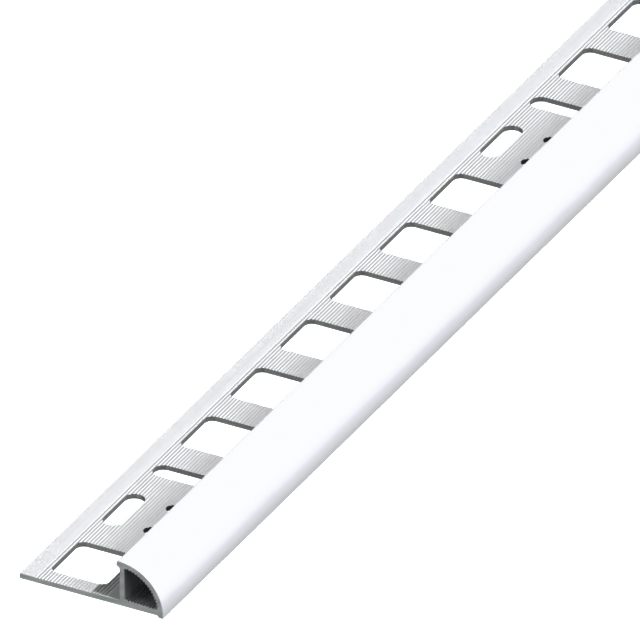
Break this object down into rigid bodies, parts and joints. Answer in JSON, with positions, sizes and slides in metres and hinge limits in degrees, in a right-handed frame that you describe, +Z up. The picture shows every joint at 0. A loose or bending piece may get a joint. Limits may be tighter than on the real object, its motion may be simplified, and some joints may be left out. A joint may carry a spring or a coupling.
{
  "type": "tile edge trim",
  "caption": "Straight tile edge trim: an extruded aluminium bar with a punched, ribbed anchoring leg, a web with a small lip and a hollow, white-coated quarter-round face.",
  "frame": {"origin": "on the surface the bar lies on, under the middle of its outer box", "axes": "+X across the bar from the leg's free edge to the curved face, +Y along the bar away from the sawn end in view, +Z up"},
  "size_m": [0.032, 1, 0.0105],
  "materials": {
    "coated_aluminium": "extruded aluminium, white coating on the curved face and bare metal elsewhere"
  },
  "bodies": {
    "root": {"edge_trim": "coated_aluminium"}
  },
  "joints": []
}
